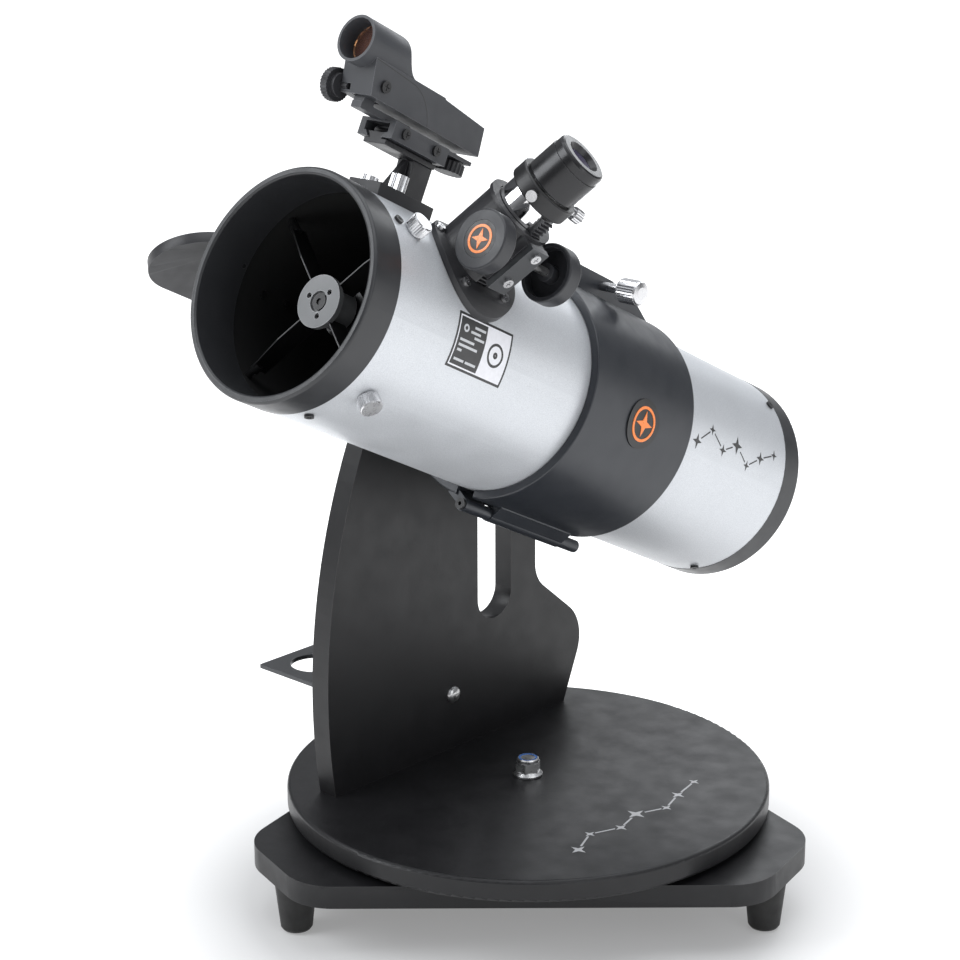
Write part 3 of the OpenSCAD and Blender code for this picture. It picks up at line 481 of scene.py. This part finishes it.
def on_plane(origin, u_axis, v_axis):
    u_axis, v_axis = Vector(u_axis).normalized(), Vector(v_axis).normalized()
    out = u_axis.cross(v_axis)
    return lambda u, v, lift: origin + u_axis * u + v_axis * v + out * lift


PRINT = 0.06 * MM  # height of a printed layer
RAISED = 0.25 * MM  # height of a moulded mark


def ring_badge_mark():
    """Orange star in a hoop on the cradle's black badge."""
    low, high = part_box("ring_badge")
    centre = (Vector(low) + Vector(high)) / 2 - PIVOT
    s = centre.dot(REAR) - FRONT
    phi = math.degrees(math.atan2(centre.dot(UP), centre.dot(ACROSS)))
    size = 11.4 * MM
    patches = [hoop(0, 0, size * 0.84, size), star(0, 0, size * 0.74, size * 0.25)]
    place = on_tube(RING_R, phi, s)
    inlay("badge_star", patches, place, RAISED, MATERIALS["badge_orange"], "ring_half")


def knob_marks():
    """The same star on the outer face of each focus knob."""
    axis = Vector(JOINTS["focus_knob_turn"]["axis"]).normalized()
    centre = Vector(JOINTS["focus_knob_turn"]["pos_m"])
    size = 8.6 * MM
    patches = [hoop(0, 0, size * 0.82, size), star(0, 0, size * 0.72, size * 0.25)]
    reach = max(abs((v.co - centre).dot(axis)) for v in NODES["knob_badges"].data.vertices)
    for side, label in ((-1, "front"), (1, "rear")):
        out = axis * side
        place = on_plane(centre + out * reach, UP.cross(out), UP)
        name = f"knob_star_{label}"
        inlay(name, patches, place, RAISED, MATERIALS["badge_orange"], "focus_knobs")


def tube_plate():
    """Small data plate: a dark half with plain bars and a pale half with a round symbol, in a black frame."""
    s, phi = 103 * MM, 2.4
    half_u, half_v, line = 25.4 * MM, 16.6 * MM, 1.5 * MM
    split, rim = 1.5 * MM, 0.9 * MM
    place = on_tube(TUBE_R, phi, s)
    inner_u, inner_v = half_u - line, half_v - line
    pale = [bar(-inner_u, -inner_v, inner_u, inner_v, 2, 32)]
    dark = [
        bar(-half_u, inner_v, half_u, half_v),
        bar(-half_u, -half_v, half_u, -inner_v),
        bar(-half_u, -inner_v, -inner_u, inner_v, 2, 32),
        bar(inner_u, -inner_v, half_u, inner_v, 2, 32),
    ]
    inlay("plate_print", dark, place, PRINT, INK_BLACK, "tube")
    inlay("plate_pale", pale, place, PRINT, INK_PALE, "tube")
    above = on_tube(TUBE_R + PRINT, phi, s)
    half = [bar(-inner_u + rim, -inner_v + rim, split, inner_v - rim, 2, 32)]
    inlay("plate_half", half, above, PRINT, INK_BLACK, "tube")
    top = on_tube(TUBE_R + 2 * PRINT, phi, s)
    # Height, start and end of each bar.
    rows = [(9.6, -10, 0), (6.4, -13, -4), (3.6, -9, 0), (0.2, -21, -8), (-3.0, -21, -4), (-6.0, -21, -17)]
    rows += [(-11.6, -21, -12), (-11.6, -10.5, -1)]
    bars = [bar(u0 * MM, v * MM, u1 * MM, (v + 1.5) * MM) for v, u0, u1 in rows]
    bars.append(hoop(-17.5 * MM, 8.2 * MM, 1.2 * MM, 2.4 * MM))
    inlay("plate_bars", bars, top, PRINT, INK_SILVER, "tube")
    middle = (split + inner_u) / 2
    symbol = [hoop(middle, 0, 5.6 * MM, 7.2 * MM), hoop(middle, 0, 0.3 * MM, 2.0 * MM)]
    inlay("plate_symbol", symbol, above, PRINT, INK_BLACK, "tube")


# A made-up group of stars, as shares of its length and height, with each star's size.
STARS = [
    (0.00, 0.30, 1.0),
    (0.17, 0.78, 0.7),
    (0.33, 0.36, 0.8),
    (0.50, 0.66, 1.2),
    (0.66, 0.24, 0.7),
    (0.82, 0.60, 0.9),
    (1.00, 0.86, 0.7),
]


def constellation(length, height, size, line):
    """Stars joined by thin lines, centred on the origin."""
    spots = [((u - 0.5) * length, (v - 0.5) * height, k * size) for u, v, k in STARS]
    patches = [star(u, v, r, r * 0.34) for u, v, r in spots]
    for (u0, v0, r0), (u1, v1, r1) in zip(spots, spots[1:]):
        p, q = Vector((u0, v0)), Vector((u1, v1))
        way = (q - p).normalized()
        patches.append(stroke(p + way * r0 * 0.9, q - way * r1 * 0.9, line))
    return patches


def tube_mark():
    """Star group printed in black behind the cradle ring."""
    phi, s = 10, 377 * MM
    patches = constellation(92 * MM, 24 * MM, 5.2 * MM, 0.9 * MM)
    inlay("tube_constellation", patches, on_tube(TUBE_R, phi, s), PRINT, INK_BLACK, "tube")


def turntable_mark():
    """The same group in light grey on the turntable's near edge."""
    from_axis = 98 * MM
    origin = AZIMUTH + Vector((from_axis, 0, 0))
    origin.z = TURNTABLE_TOP
    place = on_plane(origin, (0, 1, 0), (-1, 0, 0))
    patches = constellation(132 * MM, 20 * MM, 6.0 * MM, 1.3 * MM)
    inlay("turntable_constellation", patches, place, PRINT, INK_GREY, "turntable")


def finder_seam():
    """Parting line of the finder's two shells, on both cheeks."""
    cheek, line = 12.5 * MM, 0.55 * MM
    # Distance behind the front face and height over the tube's axis, along the line.
    path = [(6, 139.2), (18, 138.4), (36, 137), (42, 136.4), (47, 134.9)]
    path += [(50.5, 132.9), (54, 130), (57.4, 126), (60, 121.4), (61, 118.4)]
    for side, label in ((1, "near"), (-1, "far")):
        def place(u, v, lift, side=side):
            return in_tube(side * (cheek + lift), u, v)

        strokes = [stroke(Vector(p) * MM, Vector(q) * MM, line) for p, q in zip(path, path[1:])]
        inlay(f"finder_seam_{label}", strokes, place, PRINT, INK_BLACK, "finder_head")


# ---------------------------------------------------------------- springs of the mirror cell


def sweep(bm, points, radius, sides=10):
    """Closed tube of round section along a list of points."""
    rings = []
    last_side = None
    for i, p in enumerate(points):
        ahead = points[min(i + 1, len(points) - 1)] - points[max(i - 1, 0)]
        side = ahead.orthogonal().normalized()
        if last_side is not None:
            side = (last_side - ahead * last_side.dot(ahead) / ahead.length_squared).normalized()
        last_side = side
        up = ahead.normalized().cross(side)
        angles = [2 * math.pi * k / sides for k in range(sides)]
        rings.append([bm.verts.new(p + (side * math.cos(a) + up * math.sin(a)) * radius) for a in angles])
    for r0, r1 in zip(rings, rings[1:]):
        for k in range(sides):
            n = (k + 1) % sides
            bm.faces.new((r0[k], r0[n], r1[n], r1[k]))
    bm.faces.new(list(reversed(rings[0])))
    bm.faces.new(rings[-1])


def cell_springs():
    """Three wound springs between the mirror cell and the rear ring."""
    node = NODES["cell_springs"]
    places = [v.co - PIVOT for v in node.data.vertices]
    along = [p.dot(REAR) for p in places]
    start, end = min(along), max(along)
    wire, turns, steps = 0.75 * MM, 5, 24
    same_spring = 20 * MM
    groups = []
    for p in places:
        flat = p - REAR * p.dot(REAR)
        for g in groups:
            if (g[0] - flat).length < same_spring:
                g.append(flat)
                break
        else:
            groups.append([flat])
    bm = bmesh.new()
    for g in groups:
        middle = Vector((
            (min(v.x for v in g) + max(v.x for v in g)) / 2,
            (min(v.y for v in g) + max(v.y for v in g)) / 2,
            (min(v.z for v in g) + max(v.z for v in g)) / 2,
        ))
        coil = max((v - middle).length for v in g) - wire
        points = []
        for k in range(turns * steps + 1):
            angle = 2 * math.pi * k / steps
            s = start + wire + (end - start - 2 * wire) * k / (turns * steps)
            ring = ACROSS * math.cos(angle) + UP * math.sin(angle)
            points.append(PIVOT + middle + REAR * s + ring * coil)
        sweep(bm, points, wire)
    bmesh.ops.recalc_face_normals(bm, faces=bm.faces)
    mesh = bpy.data.meshes.new("wound_springs")
    bm.to_mesh(mesh)
    bm.free()
    for face in mesh.polygons:
        face.use_smooth = True
    mesh.materials.append(MATERIALS["zinc_steel"])
    piece = bpy.data.objects.new("wound_springs", mesh)
    bpy.context.scene.collection.objects.link(piece)
    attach(piece, "tube")
    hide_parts("cell_springs")


ring_badge_mark()
knob_marks()
tube_plate()
tube_mark()
turntable_mark()
finder_seam()
cell_springs()

# ---------------------------------------------------------------- floor, light and camera


def floor():
    """Pale floor. It glows faintly under the part, a painted shadow round the base, and more outside it, so it is
    white to the horizon.
    """
    m = Shader("studio_floor", (0.52, 0.52, 0.52), 0.6, Specular_IOR_Level=0.1)
    m.tint(m.noise(3, 2), (0.51, 0.51, 0.51), (0.53, 0.53, 0.53))
    length = m.add("ShaderNodeVectorMath", operation="LENGTH")
    m.links.new(m.place, length.inputs[0])
    m.bsdf.inputs["Emission Color"].default_value = (1, 1, 1, 1)
    # The low glow near the part is a painted shadow round the base; further out the floor glows white.
    near, far, painted_shadow_glow, far_glow = 0.18, 0.34, 0.26, 0.98
    glow = m.span(length.outputs["Value"], near, far, painted_shadow_glow, far_glow)
    m.links.new(glow, m.bsdf.inputs["Emission Strength"])
    bpy.ops.mesh.primitive_plane_add(size=40, location=(0, 0, -0.5 * MM))
    plane = bpy.context.object
    plane.name = "studio_floor"
    plane.data.materials.append(m.mat)


def softbox(name, place, target, width, height, power, color=(0.95, 0.975, 1.0)):
    light = bpy.data.lights.new(name, "AREA")
    light.shape = "RECTANGLE"
    light.size, light.size_y = width, height
    light.energy = power
    light.color = color
    lamp = bpy.data.objects.new(name, light)
    lamp.location = place
    lamp.rotation_mode = "QUATERNION"
    lamp.rotation_quaternion = (Vector(target) - Vector(place)).to_track_quat("-Z", "Y")
    bpy.context.scene.collection.objects.link(lamp)


def lights():
    middle = (0, 0, 0.3)
    softbox("key", (-1.3, -1.9, 1.9), middle, 1.5, 1.5, 40)
    softbox("side", (2.3, -0.3, 1.0), middle, 0.9, 1.6, 9)
    softbox("top", (0.2, 0.3, 2.4), middle, 2.2, 2.2, 30)
    softbox("back", (-0.9, 2.2, 1.4), middle, 1.6, 1.2, 14)


def studio_world():
    """Dim walls under a bright ceiling, so that polished metal has something dark to mirror."""
    world = bpy.data.worlds.new("studio")
    world.use_nodes = True
    nodes, links = world.node_tree.nodes, world.node_tree.links
    background = nodes["Background"]
    background.inputs["Color"].default_value = (0.94, 0.96, 1.0, 1)
    parts = nodes.new("ShaderNodeSeparateXYZ")
    links.new(nodes.new("ShaderNodeTexCoord").outputs["Generated"], parts.inputs[0])
    height = nodes.new("ShaderNodeMapRange")
    height.interpolation_type = "SMOOTHSTEP"
    for key, number in (("From Min", -0.05), ("From Max", 0.75), ("To Min", 0.10), ("To Max", 0.62)):
        height.inputs[key].default_value = number
    links.new(parts.outputs["Z"], height.inputs["Value"])
    links.new(height.outputs[0], background.inputs["Strength"])
    bpy.context.scene.world = world


def camera():
    """The photograph's viewpoint: place and aim from the azimuth axis, then a slight roll."""
    azimuth, elevation, roll = (math.radians(a) for a in (42.931, 17.281, -0.199))
    distance, lens, sensor = 1.6685, 95.73, 36.0
    back = Vector((
        math.sin(azimuth) * math.cos(elevation),
        -math.cos(azimuth) * math.cos(elevation),
        math.sin(elevation),
    ))
    right = Vector((math.cos(azimuth), math.sin(azimuth), 0))
    up = back.cross(right)
    aim_right, aim_height = -0.03181, 0.27819
    aim = Vector((AZIMUTH.x, AZIMUTH.y, 0)) + right * aim_right + Vector((0, 0, aim_height))
    turned_right = right * math.cos(roll) + up * math.sin(roll)
    turned_up = back.cross(turned_right)
    data = bpy.data.cameras.new("camera")
    data.lens = lens
    data.sensor_width = sensor
    eye = bpy.data.objects.new("camera", data)
    turn = Matrix((turned_right, turned_up, back)).transposed().to_4x4()
    eye.matrix_world = Matrix.Translation(aim + back * distance) @ turn
    bpy.context.scene.collection.objects.link(eye)
    bpy.context.scene.camera = eye


floor()
lights()
studio_world()
camera()
bpy.context.scene.view_settings.view_transform = "Standard"
